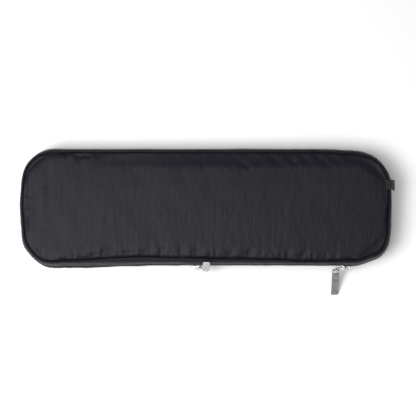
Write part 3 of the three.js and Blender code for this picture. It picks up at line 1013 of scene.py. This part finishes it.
def outline_curve(loops, depth, bevel):
    """A flat plate with rounded edges, cut to these loops of (x, y) points, centred on z = 0."""
    curve = bpy.data.curves.new("cut", "CURVE")
    curve.dimensions = "2D"
    curve.fill_mode = "BOTH"
    curve.extrude = depth / 2 - bevel
    curve.bevel_depth = bevel
    curve.bevel_resolution = 2
    curve.offset = -bevel
    for loop in loops:
        line = curve.splines.new("POLY")
        line.points.add(len(loop) - 1)
        for point, (x, y) in zip(line.points, loop):
            point.co = (x, y, 0.0, 1.0)
        line.use_cyclic_u = True
    made = evaluated(linked("cut", curve))
    bpy.data.curves.remove(curve)
    return made


def rounded(x0, y0, x1, y1, radius, steps=6):
    """A rectangle's outline between two corners, with that many steps round each of its own."""
    points = []
    for cx, cy, start in ((x1 - radius, y0 + radius, -90), (x1 - radius, y1 - radius, 0),
                          (x0 + radius, y1 - radius, 90), (x0 + radius, y0 + radius, 180)):
        for i in range(steps + 1):
            angle = math.radians(start + 90 * i / steps)
            points.append((cx + radius * math.cos(angle), cy + radius * math.sin(angle)))
    return points


def divided(loop, step):
    """A closed loop of points with more put between those that are over twice a step apart."""
    fine = []
    for a, b in zip(loop, np.roll(loop, -1, 0)):
        pieces = max(1, int(np.linalg.norm(b - a) / step))
        fine.extend(a + (b - a) * i / pieces for i in range(pieces))
    return np.array(fine)


# A slider part is drawn with x along the zipper towards its link, y outwards and z up. Each slider
# has its place along x, the way its link points, and the angle its plate is raised by
SLIDERS = {"mid": (-10.0, 1, 102.5), "right": (139.0, -1, -36.0)}
LINK_OUT = 2.95              # the link's plane, outside the case's side
EYE_REACH, EYE_RADIUS, WIRE = 10.0, 1.9, 0.6


def to_front(points, name):
    x, side, _ = SLIDERS[name]
    points = np.asarray(points, float)
    return np.stack([x + side * points[..., 0], FRONT - points[..., 1], MID + points[..., 2]], -1)


def slider_outline():
    half, head, tail = 5.0, 4.4, 3.4
    upper = spline([(-half, tail - 1.6), (-half + 0.35, tail - 0.4), (-half + 1.6, tail),
                    (-1.4, tail + 0.05), (0.9, head - 0.35), (2.2, head), (half - 1.5, head - 0.1),
                    (half - 0.3, head - 1.0), (half, head - 2.4)], 30, False)
    lower = upper[::-1] * (1, -1)
    return [tuple(p) for p in upper] + [tuple(p) for p in lower]


def make_slider(name):
    build = Build()
    loop = slider_outline()
    # the outer and the inner plate, of which only the outer one is domed
    for low, high, dome in ((0.8, 2.0, 0.35), (-4.0, -2.8, 0.0)):
        verts, faces = outline_curve([loop], high - low, 0.28)
        placed = np.stack([verts[:, 0], verts[:, 2] + (low + high) / 2, verts[:, 1]], -1)
        outer = smooth(placed[:, 1], (low + high) / 2, high)
        placed[:, 1] += dome * outer * (1 - (placed[:, 2] / 4.6) ** 2) - 0.35 * outer * dome
        build.add(to_front(placed, name), faces)
    neck = spline([(1.3, 0), (2.4, 0.62), (3.6, 0.66), (4.3, 0.3), (4.3, -0.3), (3.6, -0.66),
                   (2.4, -0.62)], 28, True)
    rings = [[(x, y, z) for x, z in neck] for y in (-3.0, -1.0, 0.4, 1.0)]
    build.sweep(to_front(rings, name))
    flange = spline([(0.85, -3.4), (0.85, -3.0), (0.0, -2.95), (-0.65, -3.05), (-0.65, -3.35),
                     (0.0, -3.45)], 18, True)
    rings = [[(x, y, z) for y, z in flange] for x in np.linspace(-3.4, 3.4, 9)]
    build.sweep(to_front(rings, name))
    # the bridge: a flat strap bent up from the plate and down again, wider at its feet
    arch = spline([(-3.55, 1.7), (-3.55, 2.7), (-3.35, 3.7), (-2.5, 4.35), (-1.0, 4.5), (1.0, 4.5),
                   (2.5, 4.35), (3.35, 3.7), (3.55, 2.7), (3.55, 1.7)], 46, False)
    rings = []
    for i, (x, y) in enumerate(arch):
        along = unit(arch[min(i + 1, len(arch) - 1)] - arch[max(i - 1, 0)])
        wide, half_thick = 1.2 + 0.35 * (1 - smooth(y, 2.0, 3.6)), 0.5
        rings.append([(x - along[1] * half_thick * b, y + along[0] * half_thick * b, wide * a)
                      for a, b, _ in squircle(16, 0.45, 0.6)])
    build.sweep(to_front(rings, name))
    node_name = "slider_" + name
    build.piece("zip_" + node_name, ["nickel"], node_name, node_name, sharp=50)


def make_link(name):
    """A wire frame round the bridge, with a stem to the upright eye that holds the plate."""
    build = Build()
    frame_end, half_width, corner = 5.8, 2.9, 1.1
    loop = rounded(0.0, -half_width, frame_end, half_width, corner, 5)
    fine = divided(np.array([(x, LINK_OUT, z) for x, z in loop]), 0.6)
    stem = [(x, LINK_OUT, 0.0) for x in np.linspace(frame_end, EYE_REACH - 0.2, 8)]
    eye = [(EYE_REACH, LINK_OUT + EYE_RADIUS - EYE_RADIUS * math.cos(a), EYE_RADIUS * math.sin(a))
           for a in np.linspace(0, 2 * math.pi, 36, endpoint=False)]
    for path, radius, closed in ((fine, WIRE, True), (stem, WIRE * 1.05, False), (eye, WIRE, True)):
        build.sweep(tube_rings(to_front(path, name), radius, 12, closed=closed), closed=closed)
    node_name = "link_" + name
    build.piece("zip_" + node_name, ["nickel"], node_name, node_name)


def make_pull(name):
    """A flat plate with a window near its bar, a raised rim and a sunk, brushed panel."""
    half, bar, length, thick = 3.5, 0.8, 29.6, 1.2
    edge, raised_by, panel_start = half - 0.02, 0.5, 4.5
    window = rounded(-2.4, bar, 2.4, 3.6, 0.6, 5)
    rim_outer = rounded(-edge, panel_start, edge, length - 0.02, 0.78)
    rim_inner = rounded(-half + 0.75, 5.3, half - 0.75, length - 0.8, 0.5)
    bar_plate = rounded(-edge, -bar + 0.02, edge, panel_start + 0.12, 0.6, 5)
    # plates as (loops, thickness, bevel, level)
    plates = [([rounded(-half, -bar, half, length, 0.8), window], thick - 0.36, 0.25, 0.0)]
    for sign in (1, -1):
        for loops in ([rim_outer, rim_inner], [bar_plate, window]):
            plates.append((loops, raised_by, 0.12, sign * (thick - raised_by) / 2))
    raised = math.radians(SLIDERS[name][2])
    build = Build()
    for loops, depth, bevel, level in plates:
        verts, faces = outline_curve(loops, depth, bevel)
        x, y, z = verts[:, 0] + EYE_REACH, verts[:, 1], verts[:, 2] + level
        out = y * math.cos(raised) - z * math.sin(raised) + LINK_OUT + EYE_RADIUS
        up = y * math.sin(raised) + z * math.cos(raised)
        build.add(to_front(np.stack([x, out, up], -1), name), faces)
    node_name = "pull_" + name
    build.piece("zip_" + node_name, ["satin_metal"], node_name, node_name, sharp=40)


def box_in_mm(node_name):
    return [np.array(corner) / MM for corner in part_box(node_name)]


def make_end_stop(name):
    """A small crimped stop clamped over the ends of both coils, ribbed where it was pressed."""
    low, high = box_in_mm("zipper_end_stop_" + name)
    centre, half = (low + high) / 2, (high - low) / 2
    centre[1] += float(end_swells(back_distance(centre[0])))
    rings = []
    for t in np.linspace(-1, 1, 23):
        groove = 1 - 0.10 * (math.cos(t * 3 * math.pi) < -0.2) - 0.35 * smooth(abs(t), 0.86, 1.0)
        rings.append([centre + half * (t, groove * a, groove * b) for a, b, _ in squircle(24, 0.5, 0.5)])
    build = Build()
    build.sweep(rings)
    build.piece("zip_end_stop_" + name, ["coil"], "base", "zipper_end_stop_" + name)


# ---------------------------------------------------------------- webbing tab

def make_tab():
    """A short loop of webbing folded over the top edge at the right end, sewn down at the seam."""
    bulge, rise, clearance = 5.0, 9.2, 0.45
    start, top = RIGHT - 5.5, HEIGHT - 0.8
    width, centre_y, layer = 9.5, 21.0, 0.95

    def line(offset):
        root = [(start - 0.5 - 0.9 * offset, top - 2.4),
                (start - 0.5 - 0.7 * offset, top - 0.8 + 0.6 * offset)]
        over = [(start + (bulge + offset) * math.sin(a), top - rise + (rise + offset) * math.cos(a))
                for a in np.linspace(0, math.pi / 2, 12)]
        return root + over

    inner, outer = line(clearance + layer / 2), line(clearance + layer * 1.72)
    fold = [((inner[-1][0] + outer[-1][0]) / 2, inner[-1][1] - 0.55)]
    path = spline(outer + fold + inner[::-1], 96, False)
    tangent = unit(np.gradient(path, axis=0))
    travel = lengths(path)
    columns = 30
    rings = []
    for (x, z), (tx, tz), far in zip(path, tangent, travel):
        ring = []
        for side in (1, -1):
            for c in range(columns + 1):
                t = (c / columns * 2 - 1) * side
                y = centre_y + t * width / 2 * (1 + 0.01 * math.sin(far * 1.7))
                rib = 0.05 * math.cos(t * width * math.pi) + 0.035 * math.sin(far * 2 * math.pi / 0.9)
                edge = 1 - 0.25 * smooth(abs(t), 0.9, 1.0)
                off = side * (layer * 0.36 * edge + rib)
                ring.append((x + tz * off, y, z - tx * off))
        rings.append(ring)
    build = Build()
    across = np.linspace(0, width, columns + 1)
    build.sweep(rings, uvs=(travel, np.concatenate([across, across[::-1] + 2 * width])))
    # two rows of close stitches near the seam
    for shift in (0.7, 2.6):
        x = start + (bulge + 2.1) * math.sin(shift / 9)
        z = top - rise + (rise + 2.46) * math.cos(shift / 9)
        for k in range(6):
            y = centre_y - width / 2 + 0.8 + k * 1.4
            bar = [(x, y + t, z + 0.12 * math.sin(math.pi * t / 1.1)) for t in np.linspace(0, 1.1, 5)]
            build.sweep(tube_rings(bar, *THREAD), slot=1)
    build.piece("side_tab", ["webbing", "thread"], "lid", "webbing_tab")


# ---------------------------------------------------------------- inside

def make_lining(half):
    """The lining of the flat face: a thin brushed sheet with a soft bedded look."""
    s = panel_distances()[::2]
    edge, centre = spoke_ends(s, SEAM_INSET)
    shares = np.concatenate([[0.0, 0.012, 0.03], np.linspace(0.06, 1.0, 24)])
    flat = edge[None] + ((centre - edge)[None] * shares[:, None, None])
    x, y = flat[..., 0], flat[..., 1]
    face = 0.12 * noise(x / 16, y / 14, 111) + 0.07 * noise(x / 6, y / 6, 112)
    inner = np.concatenate([flat, height(half, LINING_FACE + face)[..., None]], -1)
    outer = np.concatenate([flat, np.full(x.shape, height(half, LINING_BACK))[..., None]], -1)
    build = Build()
    loops = np.concatenate([outer[::-1], inner], 0)
    build.sweep(np.swapaxes(loops, 0, 1), closed=True, wrap=False, caps=False)
    side = "top" if half == "lid" else "bottom"
    made = build.piece(side + "_lining_cloth", ["lining"], half, side + "_lining")


def make_wall_lining(half):
    """The lining of the side wall, from the seam to the inside of the zipper tape."""
    line = spline([(6.3, 13.0), (5.5, 13.3), (4.6, 13.2), (3.9, 12.7), (3.45, 11.9), (3.2, 10.6),
                   (2.9, 8.4), (2.75, 6.6), (2.75, 4.7)], 24, False)
    tangent = unit(np.gradient(line, axis=0))
    side = 0.26 * np.stack([-tangent[:, 1], tangent[:, 0]], -1)
    section = np.concatenate([line + side, line[::-1] - side[::-1]])

    def shift(s, depth, h):
        ripple = 0.10 * loop_noise(s + 0.5 * h, 7, 121) + 0.12 * loop_noise(s, 23, 122)
        ripple = ripple * smooth(h, 6.9, 9) * (1 - smooth(h, 11, 13))
        return -ripple - inner_shift(s) * (1 - smooth(h, 10, 12.5)), 0.0

    build = Build()
    swept(build, half, WALL_STEPS, section, shift, closed=True)
    made = build.piece(half + "_wall_cloth", ["lining"], half, half + "_wall_lining")


def make_binding(half):
    """Binding tape folded over the raw seam inside, with a row of stitches."""
    section = spline([(4.05, 12.0), (4.0, 10.6), (4.05, 9.5), (4.5, 9.25), (4.95, 9.5), (5.0, 10.6),
                      (4.95, 12.0), (4.5, 12.25)], 32, True)

    def wobble(s):
        return 0.12 * loop_noise(s, 9, 131)

    def line(at, lift):
        return place_on_rim(at, 5.02 + wobble(at) + 0.12 * lift, height(half, 11.3))

    build = Build()
    swept(build, half, WALL_STEPS, section,
          lambda s, depth, h: (-wobble(s), 0.1 * loop_noise(s, 5, 132)), closed=True)
    stitch_row(build, 0, PERIMETER, line)
    build.piece(half + "_binding_tape", ["webbing", "thread"], half, half + "_seam_binding")


def net_cells(low, high, cell, corner):
    """A bmesh of the hexagons, in millimetres, that lie wholly inside the pocket's rounded outline."""
    work = bmesh.new()
    across, along = cell * math.sqrt(3), cell * 1.5
    known = {}

    def vertex(x, y):
        key = (round(x, 3), round(y, 3))
        if key not in known:
            known[key] = work.verts.new((x, y, 0.0))
        return known[key]

    for r in range(int((high[1] - low[1]) / along) + 2):
        for c in range(int((high[0] - low[0]) / across) + 2):
            cx, cy = low[0] + (c + 0.5 * (r % 2)) * across, low[1] + r * along
            dx = max(abs(cx) - (high[0] - corner), 0)
            dy = max(cy - (high[1] - corner), low[1] + corner - cy, 0)
            if math.hypot(dx, dy) < corner - cell * 1.15:
                work.faces.new([vertex(cx + cell * math.cos(math.radians(a)),
                                       cy + cell * math.sin(math.radians(a)))
                                for a in range(30, 390, 60)])
    return work


def make_pocket():
    """A knitted net pocket laid against the lid's lining, with an elastic hem along its mouth."""
    low, high = box_in_mm("mesh_pocket")
    corner = 14.0
    work = net_cells(low, high, 1.9, corner)
    mesh = bpy.data.meshes.new("net_work")
    work.to_mesh(mesh)
    work.free()
    holder = linked("net_work", mesh)
    wire = holder.modifiers.new("wire", "WIREFRAME")
    wire.thickness = 0.75
    wire.use_relative_offset = False
    wire.use_even_offset = False
    wire.use_boundary = True
    verts, faces = evaluated(holder)
    bpy.data.meshes.remove(mesh)
    middle = (low[2] + high[2]) / 2
    sag = 0.12 * noise(verts[:, 0] / 22, verts[:, 1] / 18, 141)
    verts[:, 2] = middle + np.clip(verts[:, 2] * 0.55, -0.2, 0.2) + sag - 0.1
    build = Build()
    build.add(verts, faces)
    # a narrow bound edge all round the net
    inset = 0.6
    edge = rounded(low[0] + inset, low[1] + inset, high[0] - inset, high[1] - inset, corner - inset, 12)
    path = divided(np.array([(x, y, middle) for x, y in edge]), 1.5)
    rings = tube_rings(path, 1.0, 10, closed=True)
    rings[..., 2] = middle + (rings[..., 2] - middle) * 0.29
    build.sweep(rings, closed=True, slot=1)
    net = build.piece("mesh_pocket_net", ["mesh", "webbing"], "lid", "mesh_pocket")

    low, high = box_in_mm("pocket_elastic")
    centre, half = (low + high) / 2, (high - low) / 2
    rings = []
    for x in np.linspace(low[0], high[0], 420):
        gather = 0.12 * math.sin(x * 2 * math.pi / 2.4) + 0.06 * math.sin(x * 2 * math.pi / 5.3)
        rings.append([(x, centre[1] + half[1] * a * (1 + 0.015 * gather),
                       centre[2] + 0.12 + (half[2] * 0.72 + 0.5 * gather * (1 - side)) * b)
                      for a, b, side in squircle(22, 0.5, 0.7)])
    build = Build()
    build.sweep(rings)
    hem = build.piece("pocket_hem", ["webbing"], "lid", "pocket_elastic")


# ---------------------------------------------------------------- the whole

make_stage()
LOOKS = make_materials()
for part in ("lid", "base"):
    for make in (make_panel, make_gusset, make_tape, make_coil, make_lining, make_wall_lining,
                 make_binding):
        make(part)
make_spine()
make_hinge_tape()
for side_name in ("left", "right"):
    make_end_stop(side_name)
for slider_name in SLIDERS:
    make_slider(slider_name)
    make_link(slider_name)
    make_pull(slider_name)
make_tab()
make_pocket()
